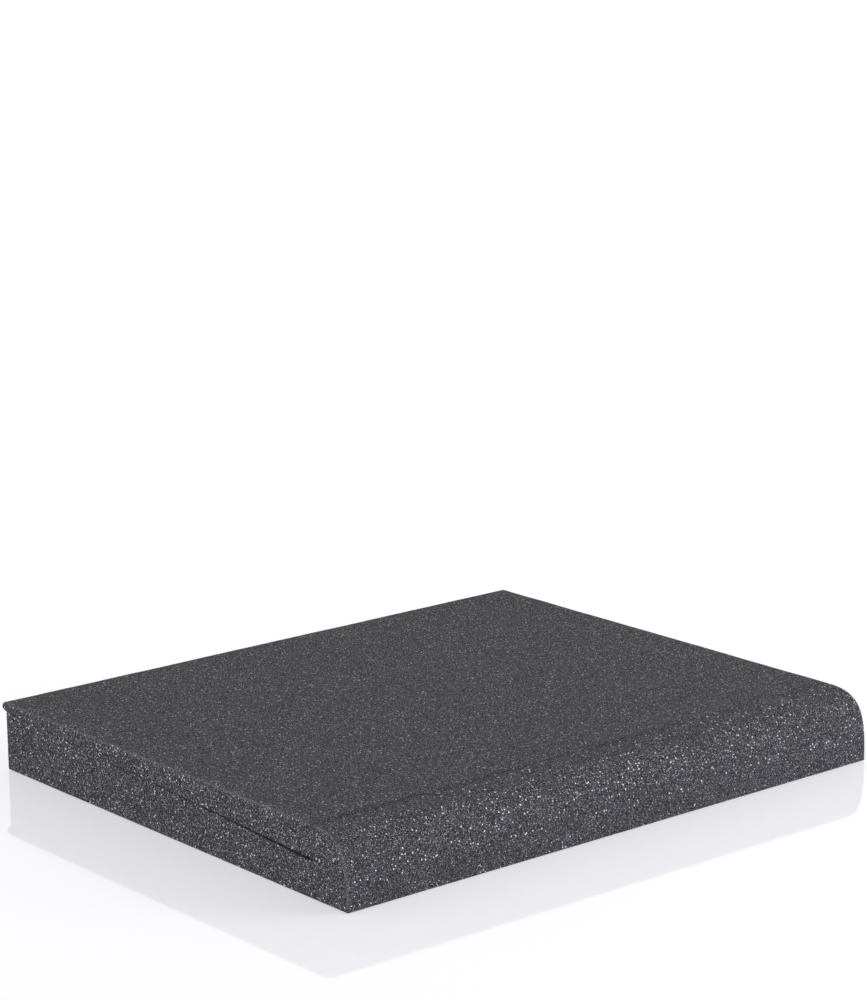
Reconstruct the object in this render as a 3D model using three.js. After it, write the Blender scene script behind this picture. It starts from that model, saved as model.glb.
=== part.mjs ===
// Isolation pad: a slab of charcoal polyurethane foam, cut in two pieces.
// The base has a rounded nose along its front edge and, behind it, a step down to a seat that
// climbs towards the rear. A tapered wedge lies on that seat, thick end against the step, and
// brings the top back to level. With the wedge turned end for end or left out, the top tilts.
//
// Millimetres. X runs along the width, Y from front to rear, Z up. The origin is the middle of
// the whole footprint, on the surface that the pad stands on.

import * as THREE from "three";

// Whole pad
const PAD_WIDTH = 394;
const PAD_HEIGHT = 41.2;
const BASE_DEPTH = 326;

// Nose: the front face stands upright at the foot and bends over in one sweep into the level
// top. Each pull is how far the sweep holds its first or last direction.
const NOSE_DEPTH = 30;
const NOSE_LANDING = 1.5;
const NOSE_FOOT_HEIGHT = 3;
const NOSE_FRONT_PULL = 25;
const NOSE_TOP_PULL = 25;

// Broken lower edges of the base, front and rear
const FOOT_RADIUS = 0.6;

// Soft edges of the two pieces where they meet at the top of the step
const SEAM_RADIUS = 1.2;

// Wedge: thickness at the step and above the rear face of the base
const WEDGE_THICK_END = 19.1;
const WEDGE_THIN_END = 5.4;

// Clearances between the wedge and the base: at the step, and over the seat at its two ends
const STEP_CLEARANCE = 0.4;
const SEAT_CLEARANCE_FRONT = 1.3;
const SEAT_CLEARANCE_REAR = 0.3;

// Beak: the wedge's thin end stands out past the rear face and its underside sweeps up
const BEAK_OVERHANG = 4;
const BEAK_RISE = 1.6;
const BEAK_TOP_RADIUS = 3;
const BEAK_UNDER_RADIUS = 1;

// Straight facets along the nose, and in each quarter turn of a round
const NOSE_FACETS = 28;
const ROUND_FACETS = 8;

const foam = {
  base: new THREE.MeshStandardMaterial({ color: 0x4b4a4f, roughness: 0.96, metalness: 0 }),
  wedge: new THREE.MeshStandardMaterial({ color: 0x4d4c50, roughness: 0.96, metalness: 0 }),
};

// One corner of an outline: depth from the front, height above the ground, and its round.
function corner(depth, height, radius = 0) {
  return { at: new THREE.Vector2(depth, height), radius };
}

// Half of the angle between the two sides of a corner.
function halfAngle(before, here, after) {
  const toBefore = before.at.clone().sub(here.at);
  const toAfter = after.at.clone().sub(here.at);
  return toBefore.angleTo(toAfter) / 2;
}

// How far from the corner its round starts.
function setback(before, here, after) {
  return here.radius === 0 ? 0 : here.radius / Math.tan(halfAngle(before, here, after));
}

// Points that round off corner i. Where the rounds at the two ends of a side need more than
// its length, both shrink in proportion.
function roundedCorner(corners, i) {
  const near = (step) => corners[(i + step + corners.length) % corners.length];
  const here = corners[i];
  if (here.radius === 0) return [here.at];

  const own = setback(near(-1), here, near(1));
  const towardsBefore = own + setback(near(-2), near(-1), here);
  const towardsAfter = own + setback(here, near(1), near(2));
  const fit = Math.min(
    1,
    here.at.distanceTo(near(-1).at) / towardsBefore,
    here.at.distanceTo(near(1).at) / towardsAfter,
  );

  const toBefore = near(-1).at.clone().sub(here.at).normalize();
  const toAfter = near(1).at.clone().sub(here.at).normalize();
  const reach = (here.radius * fit) / Math.sin(halfAngle(near(-1), here, near(1)));
  const centre = toBefore.clone().add(toAfter).setLength(reach).add(here.at);
  const start = here.at.clone().addScaledVector(toBefore, own * fit).sub(centre);
  const end = here.at.clone().addScaledVector(toAfter, own * fit).sub(centre);
  const sweep = Math.atan2(start.cross(end), start.dot(end));
  const facets = Math.max(2, Math.ceil((Math.abs(sweep) / (Math.PI / 2)) * ROUND_FACETS));
  return Array.from({ length: facets + 1 }, (_, k) =>
    start.clone().rotateAround(new THREE.Vector2(), (sweep * k) / facets).add(centre),
  );
}

// A side outline from its corners in order.
function outline(corners) {
  return new THREE.Shape(corners.flatMap((_, i) => roundedCorner(corners, i)));
}

// The sweep of the nose, from where it meets the level top down to the foot.
function noseSweep() {
  const crown = NOSE_DEPTH - NOSE_LANDING;
  const sweep = new THREE.CubicBezierCurve(
    new THREE.Vector2(crown, PAD_HEIGHT),
    new THREE.Vector2(crown - NOSE_TOP_PULL, PAD_HEIGHT),
    new THREE.Vector2(0, NOSE_FOOT_HEIGHT + NOSE_FRONT_PULL),
    new THREE.Vector2(0, NOSE_FOOT_HEIGHT),
  );
  return sweep.getPoints(NOSE_FACETS).map((point) => corner(point.x, point.y));
}

// Base: foot, rear face, seat for the wedge, step, nose.
function baseOutline() {
  const seatAtStep = PAD_HEIGHT - WEDGE_THICK_END - SEAT_CLEARANCE_FRONT;
  const seatAtRear = PAD_HEIGHT - WEDGE_THIN_END - SEAT_CLEARANCE_REAR;
  return outline([
    corner(0, 0, FOOT_RADIUS),
    corner(BASE_DEPTH, 0, FOOT_RADIUS),
    corner(BASE_DEPTH, seatAtRear),
    corner(NOSE_DEPTH, seatAtStep),
    corner(NOSE_DEPTH, PAD_HEIGHT, SEAM_RADIUS),
    ...noseSweep(),
  ]);
}

// Wedge: its thick end stands against the step, its underside follows the seat, and its thin
// end runs out into the beak.
function wedgeOutline() {
  const front = NOSE_DEPTH + STEP_CLEARANCE;
  const tip = BASE_DEPTH + BEAK_OVERHANG;
  const beakRoot = PAD_HEIGHT - WEDGE_THIN_END;
  return outline([
    corner(front, PAD_HEIGHT - WEDGE_THICK_END),
    corner(BASE_DEPTH, beakRoot),
    corner(tip, beakRoot + BEAK_RISE, BEAK_UNDER_RADIUS),
    corner(tip, PAD_HEIGHT, BEAK_TOP_RADIUS),
    corner(front, PAD_HEIGHT, SEAM_RADIUS),
  ]);
}

// Both pieces are cut to one outline along the whole width.
function cutAcrossWidth(name, shape, material) {
  const geometry = new THREE.ExtrudeGeometry(shape, { depth: PAD_WIDTH, bevelEnabled: false });
  const mesh = new THREE.Mesh(geometry, material);
  mesh.name = name;
  return mesh;
}

// The outlines are drawn as depth and height and pulled out along the width, so the group turns
// those three onto Y, Z and X, and its place brings the middle of the footprint to the origin.
const pad = new THREE.Group();
pad.name = "isolation_pad";
pad.rotation.set(Math.PI / 2, Math.PI / 2, 0);
pad.position.set(-PAD_WIDTH / 2, -(BASE_DEPTH + BEAK_OVERHANG) / 2, 0);
pad.add(cutAcrossWidth("base_pad", baseOutline(), foam.base));
pad.add(cutAcrossWidth("wedge_insert", wedgeOutline(), foam.wedge));

export default pad;
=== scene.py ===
"""Isolation pad of charcoal polyurethane foam, cut in two pieces, on a plain pale floor.

Lengths in the classes are millimetres, as a foam cutter would give them, and become metres where
a mesh or a texture is made. X runs along the width, Y from front to rear and Z up.
"""

from __future__ import annotations

import logging
import math
from dataclasses import dataclass, field
from enum import Enum

import bmesh
import bpy
from mathutils import Matrix, Vector, noise

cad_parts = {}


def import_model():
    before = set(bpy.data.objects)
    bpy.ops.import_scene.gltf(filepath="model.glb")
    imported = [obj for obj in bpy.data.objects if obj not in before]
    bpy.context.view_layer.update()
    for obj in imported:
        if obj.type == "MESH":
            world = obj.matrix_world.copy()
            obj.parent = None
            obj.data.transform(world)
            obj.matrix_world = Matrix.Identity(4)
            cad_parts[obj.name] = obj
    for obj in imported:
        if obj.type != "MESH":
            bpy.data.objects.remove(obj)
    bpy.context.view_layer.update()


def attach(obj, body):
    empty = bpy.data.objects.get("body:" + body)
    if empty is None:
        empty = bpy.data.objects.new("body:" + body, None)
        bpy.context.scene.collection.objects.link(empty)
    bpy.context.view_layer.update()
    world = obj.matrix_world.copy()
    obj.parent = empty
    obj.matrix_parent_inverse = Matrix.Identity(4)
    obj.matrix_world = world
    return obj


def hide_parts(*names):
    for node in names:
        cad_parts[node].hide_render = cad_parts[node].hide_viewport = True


LOG = logging.getLogger("isolation_pad")
MM = 0.001
BODY = "root"

# Vertex values from 0 to 1 for how strongly an edge gets its painted highlight
EDGE_HIGHLIGHT_LAYER = "arris"

# Points of a mesh this near each other become one, and a cut this near a point goes through it
WELD = 0.02
CUT_TOLERANCE = 0.001

# A face looks along an axis when its normal reaches further than this along it
FACES = 0.5

# Sockets of the mix node for colours, which share their names with those for numbers
COLOUR_A = 6
COLOUR_B = 7
COLOUR_RESULT = 2

# Nearly all of a noise texture lies between these values
NOISE_LOW = 0.3
NOISE_HIGH = 0.7

# Highest value of u * (1 - u), at u = 0.5
SHOULDER_PEAK = 0.25


def linear(hex_colour: str) -> tuple[float, float, float, float]:
    """Turns an sRGB hex colour into linear RGBA.

    Args:
        hex_colour: Six hex digits, such as "4C4B50".

    Returns:
        The linear colour, with alpha 1.
    """
    parts = [int(hex_colour[i : i + 2], 16) / 255 for i in (0, 2, 4)]
    red, green, blue = (c / 12.92 if c <= 0.04045 else ((c + 0.055) / 1.055) ** 2.4 for c in parts)
    return red, green, blue, 1.0


def add_node(
    tree: bpy.types.NodeTree, kind: str, inputs: dict[str | int, object] | None = None, **settings: object
) -> bpy.types.Node:
    """Adds one node with its settings, values and links.

    Args:
        tree: The node tree that gets the node.
        kind: The node's type, such as "ShaderNodeMix".
        inputs: Socket name or number to a value, or to the output socket that feeds it.
        **settings: Properties of the node itself.

    Returns:
        The new node.
    """
    node = tree.nodes.new(kind)
    for name, value in settings.items():
        setattr(node, name, value)
    for key, value in (inputs or {}).items():
        if isinstance(value, bpy.types.NodeSocket):
            tree.links.new(value, node.inputs[key])
        else:
            node.inputs[key].default_value = value
    return node


class Side(Enum):
    """The two ends of the pad's width."""

    LEFT = -1
    RIGHT = 1


@dataclass(frozen=True)
class Corner:
    """A corner of a side outline: depth from the front, height, and its round."""

    depth: float
    height: float
    radius: float = 0.0

    @property
    def at(self) -> Vector:
        """The corner's place in the outline's plane."""
        return Vector((self.depth, self.height))


@dataclass
class Outline:
    """A closed side outline, its corners in order with the foam on the left hand."""

    corners: list[Corner]
    round_steps: int = 6
    least_round: float = 0.02

    def ring(self, inset: float) -> list[Vector]:
        """Gives the outline moved into the foam, with the same number of points each time.

        Args:
            inset: How far every side moves inwards.

        Returns:
            The points in order.
        """
        points: list[Vector] = []
        for i, here in enumerate(self.corners):
            before = self.corners[i - 1].at
            after = self.corners[(i + 1) % len(self.corners)].at
            points += self._corner_points(before, here, after, inset)
        return points

    def _corner_points(self, before: Vector, here: Corner, after: Vector, inset: float) -> list[Vector]:
        """Gives the points of one corner, sharp or rounded, after the inset.

        Args:
            before: The corner before.
            here: The corner itself.
            after: The corner after.
            inset: How far both sides move inwards.

        Returns:
            One point for a sharp corner, or the points of its round.
        """
        arriving = (here.at - before).normalized()
        leaving = (after - here.at).normalized()
        arriving_in = Vector((-arriving.y, arriving.x))
        leaving_in = Vector((-leaving.y, leaving.x))
        moved = here.at + (arriving_in + leaving_in) * (inset / (1 + arriving_in.dot(leaving_in)))
        if here.radius == 0:
            return [moved]

        turn = math.atan2(arriving.x * leaving.y - arriving.y * leaving.x, arriving.dot(leaving))
        outward = turn > 0
        radius = max(here.radius - inset, self.least_round) if outward else here.radius + inset
        start = moved - arriving * (radius * math.tan(abs(turn) / 2))
        centre = start + arriving_in * (radius if outward else -radius)
        spoke = start - centre
        return [
            centre + Matrix.Rotation(turn * k / self.round_steps, 2) @ spoke
            for k in range(self.round_steps + 1)
        ]


@dataclass
class Unevenness:
    """How far a foam face strays from true: the knife's long waves and the cells' short ones."""

    wave_height: float = 0.16
    wave_length: float = 26.0
    ripple_height: float = 0.035
    ripple_length: float = 6.0
    seed: float = 3.7

    def at(self, place: Vector) -> float:
        """Gives the departure at a place.

        Args:
            place: The place in millimetres.

        Returns:
            Millimetres along the face's normal.
        """
        shift = Vector((self.seed, self.seed, self.seed))
        wave = noise.noise(place / self.wave_length + shift)
        ripple = noise.noise(place / self.ripple_length - shift)
        return wave * self.wave_height + ripple * self.ripple_height


@dataclass
class FoamPiece:
    """A piece cut to one outline along the whole width, with softly broken ends."""

    name: str
    node: str
    outline: Outline
    width: float
    origin_depth: float
    end_round: float = 0.5
    end_steps: int = 3
    highlight_reach: float = 1.3
    least_highlit: float = 0.5
    slice_pitch: float = 2.0
    width_pitch: float = 2.5
    unevenness: Unevenness = field(default_factory=Unevenness)

    def build(self, material: bpy.types.Material) -> bpy.types.Object:
        """Makes the piece, dresses it and gives it its place in the frame.

        Args:
            material: The foam.

        Returns:
            The new object.
        """
        mesh = bpy.data.meshes.new(self.name)
        shell = bmesh.new()
        self._sweep(shell)
        self._slice(shell)
        self._stretch(shell)
        bmesh.ops.remove_doubles(shell, verts=shell.verts[:], dist=WELD)
        bmesh.ops.recalc_face_normals(shell, faces=shell.faces[:])
        self._roughen(shell)
        bmesh.ops.scale(shell, vec=(MM, MM, MM), verts=shell.verts[:])
        shell.to_mesh(mesh)
        shell.free()
        mesh.shade_smooth()
        mesh.materials.append(material)
        piece = bpy.data.objects.new(self.name, mesh)
        bpy.context.scene.collection.objects.link(piece)
        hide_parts(self.node)
        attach(piece, BODY)
        return piece

    def _sweep(self, shell: bmesh.types.BMesh) -> None:
        """Runs the outline along the width, drawn in at both ends to round the cut edges."""
        arris = shell.verts.layers.float.new(EDGE_HIGHLIGHT_LAYER)
        rings = []
        for side in (Side.LEFT, Side.RIGHT):
            turns = self._end_turns()
            for drawn_in, inset, highlit in turns if side is Side.LEFT else reversed(turns):
                x = side.value * (self.width / 2 - drawn_in)
                ring = []
                for point in self.outline.ring(inset):
                    vert = shell.verts.new((x, point.x - self.origin_depth, point.y))
                    # How strongly the painted edge highlight shows at this point
                    vert[arris] = highlit * self.edge_highlight(point)
                    ring.append(vert)
                rings.append(ring)
        for one, other in zip(rings, rings[1:]):
            for i in range(len(one)):
                shell.faces.new((one[i - 1], one[i], other[i], other[i - 1]))
        shell.faces.new(rings[0])
        shell.faces.new(reversed(rings[-1]))

    def _end_turns(self) -> list[tuple[float, float, float]]:
        """Gives the way round one cut edge, from the end's face to the piece's long faces.

        Returns:
            For each ring how far it is drawn in along the width, its inset, and how strongly its edge
            highlight is painted.
        """
        turns = [(0.0, self.end_round + self.highlight_reach, 0.0)]
        for step in range(self.end_steps + 1):
            angle = math.pi / 2 * step / self.end_steps
            drawn_in = self.end_round * (1 - math.cos(angle))
            inset = self.end_round * (1 - math.sin(angle))
            highlit = self.least_highlit + (1 - self.least_highlit) * math.sin(2 * angle)
            turns.append((drawn_in, inset, highlit))
        turns.append((self.end_round + self.highlight_reach, 0.0, 0.0))
        return turns

    def edge_highlight(self, point: Vector) -> float:
        """Says how strongly the cut edge at an end gets a painted highlight.

        Args:
            point: The place in the outline, as depth and height.

        Returns:
            0 for no painted highlight to 1 for a full one.
        """
        return 1.0

    def _slice(self, shell: bmesh.types.BMesh) -> None:
        """Cuts every face across the depth and then the height, for a mesh of even quads."""
        places = [vert.co for vert in shell.verts]
        for axis in (1, 2):
            lowest = min(place[axis] for place in places)
            highest = max(place[axis] for place in places)
            count = round((highest - lowest) / self.slice_pitch)
            for k in range(1, count):
                point, normal = Vector(), Vector()
                point[axis] = lowest + (highest - lowest) * k / count
                normal[axis] = 1
                everything = shell.verts[:] + shell.edges[:] + shell.faces[:]
                bmesh.ops.bisect_plane(
                    shell, geom=everything, dist=CUT_TOLERANCE, plane_co=point, plane_no=normal
                )

    def _stretch(self, shell: bmesh.types.BMesh) -> None:
        """Divides the long edges, which run along the width."""
        long_edges = [edge for edge in shell.edges if edge.calc_length() > self.width / 2]
        cuts = round(self.width / self.width_pitch) - 1
        bmesh.ops.subdivide_edges(shell, edges=long_edges, cuts=cuts, use_grid_fill=True)

    def _roughen(self, shell: bmesh.types.BMesh) -> None:
        """Moves the faces that show a little off true, and leaves those that meet others."""
        shell.normal_update()
        moves = [
            (vert, vert.normal * self.unevenness.at(vert.co))
            for vert in shell.verts
            if not self.meets_other(vert)
        ]
        for vert, move in moves:
            vert.co += move

    def meets_other(self, vert: bmesh.types.BMVert) -> bool:
        """Says whether a point lies on a face that rests on something.

        Args:
            vert: The point, with its normal.

        Returns:
            True where the face has to stay true.
        """
        return vert.normal.z < -FACES


@dataclass
class PadSizes:
    """The sizes that both pieces share."""

    width: float = 394.0
    height: float = 41.2
    base_depth: float = 326.0
    nose_depth: float = 30.0
    nose_landing: float = 1.5
    nose_foot: float = 3.0
    nose_pull: float = 25.0
    nose_facets: int = 30
    thick_end: float = 19.1
    thin_end: float = 5.4
    slit_at_step: float = 1.3
    seat_dip: float = 0.5
    dip_depth: float = 90.0
    seat_play: float = 0.3
    beak: float = 4.0

    @property
    def origin_depth(self) -> float:
        """Depth of the frame's origin, half way along the whole footprint."""
        return (self.base_depth + self.beak) / 2

    def seat_height(self, depth: float) -> float:
        """Gives the height of the seat.

        Args:
            depth: Depth from the front, behind the step.

        Returns:
            The seat's height there.
        """
        low = self.height - self.thick_end - self.slit_at_step
        high = self.height - self.thin_end - self.seat_play
        along = (depth - self.nose_depth) / (self.base_depth - self.nose_depth)
        return low + (high - low) * along


@dataclass
class BasePad(FoamPiece):
    """The base: rounded nose, step, and the seat that climbs to the rear."""

    step_depth: float = 30.0
    step_foot: float = 20.0
    step_margin: float = 0.1
    seam_margin: float = 0.5
    foot_top: float = 1.5

    @classmethod
    def of(
        cls,
        sizes: PadSizes,
        foot_round: float = 0.4,
        rear_round: float = 0.8,
        seam_round: float = 0.6,
    ) -> BasePad:
        """Draws the base from the shared sizes.

        Args:
            sizes: The pad's sizes.
            foot_round: Round of the two lower edges.
            rear_round: Round of the edge over the rear face.
            seam_round: Round of the edge at the top of the step.

        Returns:
            The base, ready to build.
        """
        corners = [
            Corner(0, 0, foot_round),
            Corner(sizes.base_depth, 0, foot_round),
            Corner(sizes.base_depth, sizes.seat_height(sizes.base_depth), rear_round),
            Corner(sizes.dip_depth, sizes.seat_height(sizes.dip_depth)),
            Corner(sizes.nose_depth, sizes.seat_height(sizes.nose_depth) - sizes.seat_dip),
            Corner(sizes.nose_depth, sizes.height, seam_round),
            *cls.nose(sizes),
        ]
        return cls(
            name="foam_base",
            node="base_pad",
            outline=Outline(corners),
            width=sizes.width,
            origin_depth=sizes.origin_depth,
            step_depth=sizes.nose_depth,
        )

    @staticmethod
    def nose(sizes: PadSizes) -> list[Corner]:
        """Gives the sweep of the nose, from the level top down to the foot.

        Args:
            sizes: The pad's sizes.

        Returns:
            Points of one Bezier curve.
        """
        crown = sizes.nose_depth - sizes.nose_landing
        handles = (
            Vector((crown, sizes.height)),
            Vector((crown - sizes.nose_pull, sizes.height)),
            Vector((0, sizes.nose_foot + sizes.nose_pull)),
            Vector((0, sizes.nose_foot)),
        )
        sweep = []
        for k in range(sizes.nose_facets + 1):
            t = k / sizes.nose_facets
            weights = ((1 - t) ** 3, 3 * t * (1 - t) ** 2, 3 * t**2 * (1 - t), t**3)
            point = sum((h * w for h, w in zip(handles, weights)), Vector((0, 0)))
            sweep.append(Corner(point.x, point.y))
        return sweep

    def edge_highlight(self, point: Vector) -> float:
        """The painted edge highlight runs round the nose at both ends, but not its foot, the seat or the
        rear.
        """
        on_nose = point.x < self.step_depth - self.seam_margin and point.y > self.foot_top
        return 1.0 if on_nose else 0.0

    def meets_other(self, vert: bmesh.types.BMVert) -> bool:
        """Says whether a point lies on the underside, the step or the seat."""
        behind_step = vert.co.y + self.origin_depth > self.step_depth - self.step_margin
        on_underside = vert.normal.z < -FACES
        on_seat = behind_step and vert.normal.z > FACES
        faces_rear = behind_step and vert.normal.y > FACES
        on_step = faces_rear and vert.co.z > self.step_foot and vert.co.y < 0
        return on_underside or on_seat or on_step


@dataclass
class WedgeInsert(FoamPiece):
    """The tapered wedge that lies on the seat, with its beak past the rear face."""

    highlight_from: float = 39.0

    @classmethod
    def of(
        cls,
        sizes: PadSizes,
        step_play: float = 0.12,
        seat_touch: float = 0.08,
        touch_depth: float = 215.0,
        foot_round: float = 0.8,
        beak_rise: float = 1.6,
        beak_top_round: float = 3.0,
        beak_under_round: float = 1.0,
        seam_round: float = 0.6,
    ) -> WedgeInsert:
        """Draws the wedge from the shared sizes.

        Args:
            sizes: The pad's sizes.
            step_play: Gap to the step.
            seat_touch: Gap to the seat where the wedge has settled on it.
            touch_depth: Depth from which the wedge has settled on its seat.
            foot_round: Round of the lower edge at the step.
            beak_rise: How far the underside climbs to the tip.
            beak_top_round: Round over the tip.
            beak_under_round: Round under the tip.
            seam_round: Round of the edge at the top of the step.

        Returns:
            The wedge, ready to build.
        """
        front = sizes.nose_depth + step_play
        tip = sizes.base_depth + sizes.beak
        root = sizes.seat_height(sizes.base_depth) + seat_touch
        corners = [
            Corner(front, sizes.height - sizes.thick_end, foot_round),
            Corner(touch_depth, sizes.seat_height(touch_depth) + seat_touch),
            Corner(sizes.base_depth, root),
            Corner(tip, root + beak_rise, beak_under_round),
            Corner(tip, sizes.height, beak_top_round),
            Corner(front, sizes.height, seam_round),
        ]
        return cls(
            name="foam_wedge",
            node="wedge_insert",
            outline=Outline(corners),
            width=sizes.width,
            origin_depth=sizes.origin_depth,
        )

    def edge_highlight(self, point: Vector) -> float:
        """Only the edges of the level top get the painted edge highlight."""
        return 1.0 if point.y > self.highlight_from else 0.0

    def meets_other(self, vert: bmesh.types.BMVert) -> bool:
        """Says whether a point lies on the underside or on the thick end at the step."""
        return vert.normal.z < -FACES or vert.normal.y < -FACES


@dataclass(frozen=True)
class CutFoam:
    """Open-cell polyurethane foam, dyed charcoal and cut with a knife.

    The cut leaves a dull skinless face of open cells: dark pores between paler struts. Here and
    there a cell's film is still whole; the light it catches is painted into the colour as a small
    bright glint over the dark pore that it closes. Light along the cut edges and shade along the
    seam are painted too. The real cells are about 0.4 mm across, some sixty to the inch.
    """

    name: str = "Polyurethane foam, charcoal, knife cut"
    ior: float = 1.5
    gloss: float = 0.2
    strut_roughness: float = 1.0
    relief: float = 0.2
    relief_strength: float = 0.5

    # Cells: their size, how far their walls fray as a share of it, and the colours of pore,
    # strut and strut end against the cell's chance
    cell: float = 0.38
    fray: float = 0.5
    cell_tones: tuple[tuple[float, str], ...] = (
        (0.0, "0A0A0C"),
        (0.25, "333237"),
        (0.55, "4D4C51"),
        (0.82, "66646B"),
        (0.94, "7E7C84"),
        (0.985, "ACABB3"),
        (1.0, "DEDEE7"),
    )

    # Contrast: the tone that stays as it is, and how far the others move away from it on the two
    # ends and on the shoulder of the nose; on the shoulder the stronger contrast is painted highlight
    middle_tone: float = 0.6
    end_gain: float = 0.06
    shoulder_gain: float = 0.05

    # Painted highlight along the cut edges, each cell between two limits by its own tone
    painted_edge_highlight: str = "8F8D95"
    least_edge_highlight: float = 0.12
    most_edge_highlight: float = 0.85

    # Whole films, painted as bright glints: pitch, size and the share of the size that is bright all
    # over. The pitch is wider than the real cells, so that single films show
    # Colour of a whole film, painted into the surface as a bright glint
    film: str = "F4F6FF"
    film_roughness: float = 0.4
    film_pitch: float = 0.95
    film_size: float = 0.54
    film_heart: float = 0.82
    film_share: float = 0.029
    film_fade: float = 0.008
    film_pore: str = "121214"
    pore_size: float = 0.95
    pore_share: float = 0.8

    # Where the painted glints are stronger or weaker, and the patches in which they crowd
    painted_glints_on_top: float = 0.62
    painted_glint_gain_at_ends: float = 0.75
    painted_glint_gain_on_shoulder: float = 0.4
    patch: float = 9.0
    patch_strength: float = 0.045

    # Level top, where the painted glints are weaker: from the seam rearwards, on faces that look up this
    # far
    level_top_fade: float = 4.0
    level_from: float = 0.85
    level_to: float = 0.99

    # Painted shade along the seam: its place in depth and height, reach and depth of tone, the uneven
    # stretches along it, and how it fades towards the right end
    seam_at: float = -135.0
    seam_floor: float = 36.0
    seam_ceiling: float = 40.0
    seam_reach: float = 5.5
    seam_shade: float = 0.34
    seam_stretch: float = 24.0
    seam_least: float = 0.3
    seam_fades_from: float = -100.0
    seam_fades_to: float = 190.0
    seam_at_right_end: float = 0.35

    def build(self) -> bpy.types.Material:
        """Makes the material.

        Returns:
            The foam.
        """
        material = bpy.data.materials.new(self.name)
        material.use_nodes = True
        tree = material.node_tree
        tree.nodes.clear()
        place = add_node(tree, "ShaderNodeTexCoord").outputs["Object"]
        tone = self._grade(tree, self._cells(tree, place))
        # The cut edges get a painted highlight
        highlit = self._paint_edge_highlight(tree, tone, self._ramp(tree, tone))
        # The seam's painted shade, laid over in black
        colour = self._mix(tree, self._paint_seam_shade(tree, place), highlit, "000000")
        painted_glints, pores = self._painted_glints(tree, place)
        shaded = self._mix(tree, pores, colour, self.film_pore)
        # Painted glints, laid over in near white
        with_painted_glints = self._mix(tree, painted_glints, shaded, self.film)
        dullness = add_node(
            tree,
            "ShaderNodeMapRange",
            {"Value": painted_glints, "To Min": self.strut_roughness, "To Max": self.film_roughness},
        )
        relief = add_node(
            tree,
            "ShaderNodeBump",
            {"Height": tone, "Strength": self.relief_strength, "Distance": self.relief * MM},
        )
        surface = add_node(
            tree,
            "ShaderNodeBsdfPrincipled",
            {
                "Base Color": with_painted_glints,
                "Roughness": dullness.outputs["Result"],
                "Normal": relief.outputs["Normal"],
                "IOR": self.ior,
                "Specular IOR Level": self.gloss,
            },
        )
        add_node(tree, "ShaderNodeOutputMaterial", {"Surface": surface.outputs[0]})
        return material

    def _mix(
        self,
        tree: bpy.types.NodeTree,
        share: bpy.types.NodeSocket,
        under: bpy.types.NodeSocket,
        over: str,
    ) -> bpy.types.NodeSocket:
        """Lays one colour over what is there.

        Args:
            tree: The material's nodes.
            share: How far the colour covers.
            under: The colour that is there.
            over: The colour laid over it, as sRGB hex.

        Returns:
            The colour of both.
        """
        inputs = {"Factor": share, COLOUR_A: under, COLOUR_B: linear(over)}
        return add_node(tree, "ShaderNodeMix", inputs, data_type="RGBA").outputs[COLOUR_RESULT]

    def _cells(self, tree: bpy.types.NodeTree, place: bpy.types.NodeSocket) -> bpy.types.NodeSocket:
        """Adds the cells, their walls frayed so that no two have the same outline.

        Args:
            tree: The material's nodes.
            place: The place on the piece.

        Returns:
            Each cell's chance, from 0 for a deep pore to 1 for a bright strut end.
        """
        pitch = 1 / (self.cell * MM)
        wander = add_node(tree, "ShaderNodeTexNoise", {"Vector": place, "Scale": pitch, "Detail": 1.0})
        frayed = add_node(
            tree,
            "ShaderNodeVectorMath",
            {0: wander.outputs["Color"], 1: (self.fray * self.cell * MM,) * 3, 2: place},
            operation="MULTIPLY_ADD",
        )
        cells = add_node(
            tree, "ShaderNodeTexVoronoi", {"Vector": frayed.outputs[0], "Scale": pitch}, feature="F1"
        )
        return add_node(tree, "ShaderNodeSeparateColor", {"Color": cells.outputs["Color"]}).outputs["Red"]

    def _facing(self, tree: bpy.types.NodeTree, axis: str) -> bpy.types.NodeSocket:
        """Says how far the surface looks along one axis of the piece.

        Args:
            tree: The material's nodes.
            axis: "X", "Y" or "Z".

        Returns:
            That part of the normal.
        """
        normal = add_node(tree, "ShaderNodeTexCoord").outputs["Normal"]
        return add_node(tree, "ShaderNodeSeparateXYZ", {"Vector": normal}).outputs[axis]

    def _level_top(self, tree: bpy.types.NodeTree, place: bpy.types.NodeSocket) -> bpy.types.NodeSocket:
        """Says how far the surface belongs to the level top behind the seam.

        Args:
            tree: The material's nodes.
            place: The place on the piece.

        Returns:
            1 on the level top, and 0 on the nose and the upright faces.
        """
        axes = add_node(tree, "ShaderNodeSeparateXYZ", {"Vector": place})
        behind = add_node(
            tree,
            "ShaderNodeMapRange",
            {
                "Value": axes.outputs["Y"],
                "From Min": (self.seam_at - self.level_top_fade) * MM,
                "From Max": (self.seam_at + self.level_top_fade) * MM,
            },
        )
        level = add_node(
            tree,
            "ShaderNodeMapRange",
            {"Value": self._facing(tree, "Z"), "From Min": self.level_from, "From Max": self.level_to},
        )
        return add_node(
            tree,
            "ShaderNodeMath",
            {0: behind.outputs["Result"], 1: level.outputs["Result"]},
            operation="MULTIPLY",
        ).outputs[0]

    def _shoulder(self, tree: bpy.types.NodeTree) -> bpy.types.NodeSocket:
        """Says how near the surface is to leaning half way between level and upright.

        Args:
            tree: The material's nodes.

        Returns:
            0 on level and upright faces, and SHOULDER_PEAK half way round the nose.
        """
        up = self._facing(tree, "Z")
        upright = add_node(tree, "ShaderNodeMath", {0: 1.0, 1: up}, operation="SUBTRACT")
        return add_node(
            tree, "ShaderNodeMath", {0: upright.outputs[0], 1: up}, operation="MULTIPLY", use_clamp=True
        ).outputs[0]

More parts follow.
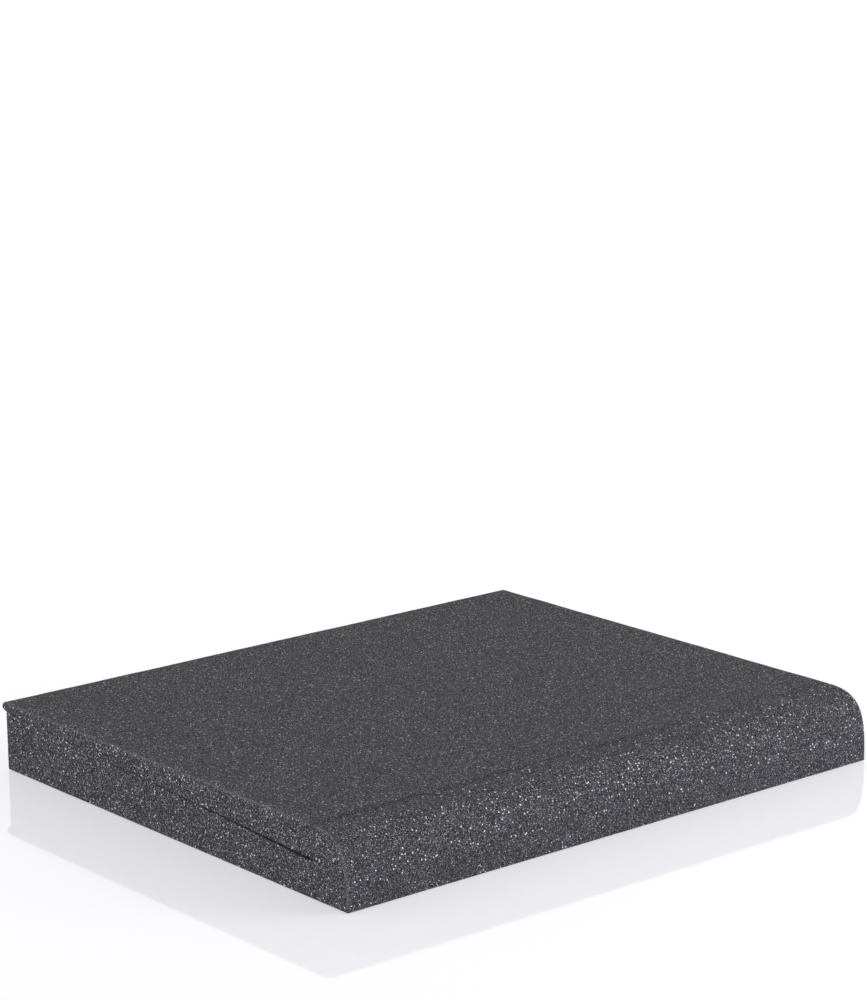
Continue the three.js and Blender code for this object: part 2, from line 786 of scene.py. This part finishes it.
    def _gain(
        self,
        tree: bpy.types.NodeTree,
        plain: bpy.types.NodeSocket | float,
        at_ends: float,
        on_shoulder: float,
    ) -> bpy.types.NodeSocket:
        """Raises a value on the two ends of the width and on the shoulder of the nose.

        Args:
            tree: The material's nodes.
            plain: The value without a gain.
            at_ends: Gain on the two ends of the width.
            on_shoulder: Gain half way round the nose.

        Returns:
            The value with both gains.
        """
        across = add_node(tree, "ShaderNodeMath", {0: self._facing(tree, "X")}, operation="ABSOLUTE")
        ends = add_node(
            tree, "ShaderNodeMath", {0: across.outputs[0], 1: at_ends, 2: plain}, operation="MULTIPLY_ADD"
        )
        return add_node(
            tree,
            "ShaderNodeMath",
            {0: self._shoulder(tree), 1: on_shoulder / SHOULDER_PEAK, 2: ends.outputs[0]},
            operation="MULTIPLY_ADD",
        ).outputs[0]

    def _grade(self, tree: bpy.types.NodeTree, chance: bpy.types.NodeSocket) -> bpy.types.NodeSocket:
        """Draws the tones apart on the two ends and on the shoulder of the nose.

        Args:
            tree: The material's nodes.
            chance: The chance of the cell.

        Returns:
            The cell's tone, with its contrast set by the way the face looks.
        """
        contrast = self._gain(tree, 1.0, self.end_gain, self.shoulder_gain)
        away = add_node(tree, "ShaderNodeMath", {0: chance, 1: self.middle_tone}, operation="SUBTRACT")
        return add_node(
            tree,
            "ShaderNodeMath",
            {0: away.outputs[0], 1: contrast, 2: self.middle_tone},
            operation="MULTIPLY_ADD",
        ).outputs[0]

    def _ramp(self, tree: bpy.types.NodeTree, tone: bpy.types.NodeSocket) -> bpy.types.NodeSocket:
        """Turns the tone into the colours of pore, strut and strut end.

        Args:
            tree: The material's nodes.
            tone: The tone of the cell.

        Returns:
            The colour.
        """
        ramp = add_node(tree, "ShaderNodeValToRGB", {"Fac": tone})
        stops = ramp.color_ramp.elements
        stops[0].position, stops[-1].position = self.cell_tones[0][0], self.cell_tones[-1][0]
        for position, _ in self.cell_tones[1:-1]:
            stops.new(position)
        for stop, (_, colour) in zip(stops, self.cell_tones):
            stop.color = linear(colour)
        return ramp.outputs["Color"]

    def _paint_edge_highlight(
        self, tree: bpy.types.NodeTree, tone: bpy.types.NodeSocket, colour: bpy.types.NodeSocket
    ) -> bpy.types.NodeSocket:
        """Paints a highlight along the cut edges, more on the paler cells.

        Args:
            tree: The material's nodes.
            tone: The tone of the cell.
            colour: The colour of the cell.

        Returns:
            The colour with the painted edge highlight.
        """
        edge = add_node(tree, "ShaderNodeAttribute", attribute_name=EDGE_HIGHLIGHT_LAYER)
        uneven = add_node(
            tree,
            "ShaderNodeMapRange",
            {"Value": tone, "To Min": self.least_edge_highlight, "To Max": self.most_edge_highlight},
        )
        # Strength of the painted edge highlight, set by the cell's tone
        broken = add_node(
            tree,
            "ShaderNodeMath",
            {0: edge.outputs["Fac"], 1: uneven.outputs["Result"]},
            operation="MULTIPLY",
        )
        return self._mix(tree, broken.outputs[0], colour, self.painted_edge_highlight)

    def _painted_glints(
        self, tree: bpy.types.NodeTree, place: bpy.types.NodeSocket
    ) -> tuple[bpy.types.NodeSocket, bpy.types.NodeSocket]:
        """Scatters the cells whose film is whole, each painted as a bright glint over the dark pore that
        it closes.

        Args:
            tree: The material's nodes.
            place: The place on the piece.

        Returns:
            The painted glint's strength, 1 in the middle of the brightest, and the pore's round it.
        """
        spots = add_node(
            tree,
            "ShaderNodeTexVoronoi",
            {"Vector": place, "Scale": 1 / (self.film_pitch * MM)},
            feature="F1",
        )
        chosen = self._chosen(tree, place, spots.outputs["Color"])
        size = self.film_size / self.film_pitch
        heart = add_node(
            tree,
            "ShaderNodeMapRange",
            {"Value": spots.outputs["Distance"], "From Min": size, "From Max": self.film_heart * size},
        )
        film = add_node(
            tree, "ShaderNodeMath", {0: chosen, 1: heart.outputs["Result"]}, operation="MULTIPLY"
        )
        # Painted glints are weaker on the level top, and stronger on the ends and the shoulder
        weaker = add_node(
            tree,
            "ShaderNodeMapRange",
            {"Value": self._level_top(tree, place), "To Min": 1.0, "To Max": self.painted_glints_on_top},
        )
        gain = self._gain(
            tree, weaker.outputs["Result"], self.painted_glint_gain_at_ends, self.painted_glint_gain_on_shoulder
        )
        glint = add_node(
            tree, "ShaderNodeMath", {0: film.outputs[0], 1: gain}, operation="MULTIPLY", use_clamp=True
        )
        round_about = add_node(
            tree,
            "ShaderNodeMapRange",
            {
                "Value": spots.outputs["Distance"],
                "From Min": self.pore_size / self.film_pitch,
                "From Max": size,
                "To Max": self.pore_share,
            },
        )
        pore = add_node(
            tree, "ShaderNodeMath", {0: chosen, 1: round_about.outputs["Result"]}, operation="MULTIPLY"
        )
        return glint.outputs[0], pore.outputs[0]

    def _chosen(
        self, tree: bpy.types.NodeTree, place: bpy.types.NodeSocket, spots: bpy.types.NodeSocket
    ) -> bpy.types.NodeSocket:
        """Picks the few spots that hold a whole film, crowded in patches.

        Args:
            tree: The material's nodes.
            place: The place on the piece.
            spots: The chance colour of each spot.

        Returns:
            1 for a spot with a film, and 0 for the rest.
        """
        chance = add_node(tree, "ShaderNodeSeparateColor", {"Color": spots})
        patches = add_node(
            tree, "ShaderNodeTexNoise", {"Vector": place, "Scale": 1 / (self.patch * MM), "Detail": 2.0}
        )
        shift = add_node(
            tree,
            "ShaderNodeMapRange",
            {
                "Value": patches.outputs["Fac"],
                "From Min": NOISE_LOW,
                "From Max": NOISE_HIGH,
                "To Min": -self.patch_strength / 2,
                "To Max": self.patch_strength / 2,
            },
        )
        crowded = add_node(
            tree,
            "ShaderNodeMath",
            {0: chance.outputs["Green"], 1: shift.outputs["Result"]},
            operation="ADD",
        )
        least = 1 - self.film_share
        return add_node(
            tree,
            "ShaderNodeMapRange",
            {"Value": crowded.outputs[0], "From Min": least, "From Max": least + self.film_fade},
        ).outputs["Result"]

    def _paint_seam_shade(self, tree: bpy.types.NodeTree, place: bpy.types.NodeSocket) -> bpy.types.NodeSocket:
        """Paints shade on the top close to the step, between the two pieces.

        Args:
            tree: The material's nodes.
            place: The place on the piece.

        Returns:
            The share of painted shade, uneven along the width.
        """
        axes = add_node(tree, "ShaderNodeSeparateXYZ", {"Vector": place})
        off = add_node(
            tree, "ShaderNodeMath", {0: axes.outputs["Y"], 1: self.seam_at * MM}, operation="SUBTRACT"
        )
        away = add_node(tree, "ShaderNodeMath", {0: off.outputs[0]}, operation="ABSOLUTE")
        wander = add_node(
            tree,
            "ShaderNodeTexNoise",
            {"Vector": place, "Scale": 1 / (self.seam_stretch * MM), "Detail": 1.0},
        )
        near = add_node(
            tree,
            "ShaderNodeMapRange",
            {"Value": away.outputs[0], "From Min": self.seam_reach * MM, "From Max": 0.0},
            interpolation_type="SMOOTHSTEP",
        )
        fading = add_node(
            tree,
            "ShaderNodeMapRange",
            {
                "Value": axes.outputs["X"],
                "From Min": self.seam_fades_from * MM,
                "From Max": self.seam_fades_to * MM,
                "To Min": 1.0,
                "To Max": self.seam_at_right_end,
            },
        )
        uneven = add_node(
            tree,
            "ShaderNodeMapRange",
            {
                "Value": wander.outputs["Fac"],
                "From Min": NOISE_LOW,
                "From Max": NOISE_HIGH,
                "To Min": self.seam_least,
            },
        )
        on_top = add_node(
            tree,
            "ShaderNodeMapRange",
            {
                "Value": axes.outputs["Z"],
                "From Min": self.seam_floor * MM,
                "From Max": self.seam_ceiling * MM,
                "To Max": self.seam_shade,
            },
        )
        share = near.outputs["Result"]
        for part in (fading, uneven, on_top):
            product = add_node(
                tree, "ShaderNodeMath", {0: share, 1: part.outputs["Result"]}, operation="MULTIPLY"
            )
            share = product.outputs[0]
        return share


@dataclass(frozen=True)
class PaleFloor:
    """A plain pale floor with a faint gloss, wide enough to fill the view.

    The camera sees it a little lighter than the light makes it, so that it ends in plain white.
    """

    name: str = "Acrylic sheet, white, polished"
    colour: str = "D9D9DE"
    roughness: float = 0.05
    ior: float = 1.49
    gloss: float = 0.4
    lift: float = 0.63
    reach: float = 14.0
    drop: float = 0.0003

    def build(self) -> bpy.types.Object:
        """Makes the floor.

        Returns:
            The floor, marked as no part of the object.
        """
        material = bpy.data.materials.new(self.name)
        material.use_nodes = True
        surface = material.node_tree.nodes["Principled BSDF"]
        surface.inputs["Base Color"].default_value = linear(self.colour)
        surface.inputs["Roughness"].default_value = self.roughness
        surface.inputs["IOR"].default_value = self.ior
        surface.inputs["Specular IOR Level"].default_value = self.gloss
        surface.inputs["Emission Color"].default_value = linear(self.colour)
        path = add_node(material.node_tree, "ShaderNodeLightPath")
        lifted = add_node(
            material.node_tree,
            "ShaderNodeMath",
            {0: path.outputs["Is Camera Ray"], 1: self.lift},
            operation="MULTIPLY",
        )
        material.node_tree.links.new(lifted.outputs[0], surface.inputs["Emission Strength"])
        quarters = ((-1, -1), (1, -1), (1, 1), (-1, 1))
        corners = [(x * self.reach, y * self.reach, -self.drop) for x, y in quarters]
        mesh = bpy.data.meshes.new("floor")
        mesh.from_pydata(corners, [], [(0, 1, 2, 3)])
        mesh.materials.append(material)
        floor = bpy.data.objects.new("floor", mesh)
        bpy.context.scene.collection.objects.link(floor)
        return floor


@dataclass(frozen=True)
class Softbox:
    """A square lamp that looks at the pad."""

    name: str
    place: tuple[float, float, float]
    side: float
    watts: float

    def build(self) -> bpy.types.Object:
        """Makes the lamp.

        Returns:
            The lamp, turned to the pad.
        """
        light = bpy.data.lights.new(self.name, "AREA")
        light.size = self.side
        light.energy = self.watts
        lamp = bpy.data.objects.new(self.name, light)
        lamp.visible_glossy = False
        lamp.location = self.place
        lamp.rotation_euler = (-Vector(self.place)).to_track_quat("-Z", "Y").to_euler()
        bpy.context.scene.collection.objects.link(lamp)
        return lamp


@dataclass(frozen=True)
class Studio:
    """Pale walls all round under a dimmer ceiling, with a large lamp on either hand."""

    walls: float = 1.22
    ceiling: float = 0.26
    wall_colour: str = "F9FBFF"
    ceiling_colour: str = "FEFDF5"
    shown_colour: str = "FFFFFF"
    lamps: tuple[Softbox, ...] = (
        Softbox(name="softbox_right", place=(1.25, -1.3, 0.5), side=0.9, watts=13.0),
        Softbox(name="softbox_left", place=(-2.3, -1.0, 0.7), side=1.3, watts=10.5),
    )

    def build(self) -> None:
        """Makes the world and the lamps. Camera and gloss see the world as plain white."""
        world = bpy.data.worlds.new("studio")
        world.use_nodes = True
        tree = world.node_tree
        tree.nodes.clear()
        facing = add_node(tree, "ShaderNodeTexCoord").outputs["Generated"]
        height = add_node(tree, "ShaderNodeSeparateXYZ", {"Vector": facing})
        lit = add_node(
            tree,
            "ShaderNodeMapRange",
            {"Value": height.outputs["Z"], "To Min": self.walls, "To Max": self.ceiling},
        )
        path = add_node(tree, "ShaderNodeLightPath")
        seen = add_node(
            tree,
            "ShaderNodeMath",
            {0: path.outputs["Is Camera Ray"], 1: path.outputs["Is Glossy Ray"]},
            operation="MAXIMUM",
        )
        strength = add_node(
            tree,
            "ShaderNodeMix",
            {"Factor": seen.outputs[0], "A": lit.outputs["Result"], "B": 1.0},
            data_type="FLOAT",
        )
        colour = add_node(
            tree,
            "ShaderNodeMix",
            {
                "Factor": height.outputs["Z"],
                COLOUR_A: linear(self.wall_colour),
                COLOUR_B: linear(self.ceiling_colour),
            },
            data_type="RGBA",
        )
        shown = add_node(
            tree,
            "ShaderNodeMix",
            {
                "Factor": seen.outputs[0],
                COLOUR_A: colour.outputs[COLOUR_RESULT],
                COLOUR_B: linear(self.shown_colour),
            },
            data_type="RGBA",
        )
        light = add_node(
            tree,
            "ShaderNodeBackground",
            {"Color": shown.outputs[COLOUR_RESULT], "Strength": strength.outputs[0]},
        )
        add_node(tree, "ShaderNodeOutputWorld", {"Surface": light.outputs[0]})
        bpy.context.scene.world = world
        for lamp in self.lamps:
            lamp.build()


@dataclass(frozen=True)
class Viewpoint:
    """The camera, where the photograph was taken from. Place in metres, angles in degrees."""

    place: tuple[float, float, float] = (-1.16534, -1.40085, 0.58613)
    heading: float = 39.783
    dip: float = 13.108
    roll: float = -0.546
    lens: float = 114.91
    sensor: float = 36.0
    nearest: float = 0.05
    farthest: float = 60.0

    def build(self) -> bpy.types.Object:
        """Makes the camera and gives it to the scene.

        Returns:
            The camera.
        """
        data = bpy.data.cameras.new("viewpoint")
        data.lens = self.lens
        data.sensor_width = self.sensor
        data.clip_start = self.nearest
        data.clip_end = self.farthest
        camera = bpy.data.objects.new("viewpoint", data)
        turned = (
            Matrix.Rotation(math.radians(-self.heading), 4, "Z")
            @ Matrix.Rotation(math.radians(90 - self.dip), 4, "X")
            @ Matrix.Rotation(math.radians(self.roll), 4, "Z")
        )
        camera.matrix_world = Matrix.Translation(self.place) @ turned
        bpy.context.scene.collection.objects.link(camera)
        bpy.context.scene.camera = camera
        return camera


def main() -> None:
    """Builds the camera, the studio and the two foam pieces around the frame."""
    logging.basicConfig(level=logging.INFO, format="%(name)s: %(message)s")
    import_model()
    bpy.context.scene.view_settings.view_transform = "Standard"

    Viewpoint().build()
    Studio().build()
    PaleFloor().build()

    foam = CutFoam().build()
    sizes = PadSizes()
    for cut in (BasePad.of(sizes), WedgeInsert.of(sizes)):
        piece = cut.build(foam)
        LOG.info("%s: %d faces, stands for %s", piece.name, len(piece.data.polygons), cut.node)


if __name__ == "__main__":
    main()
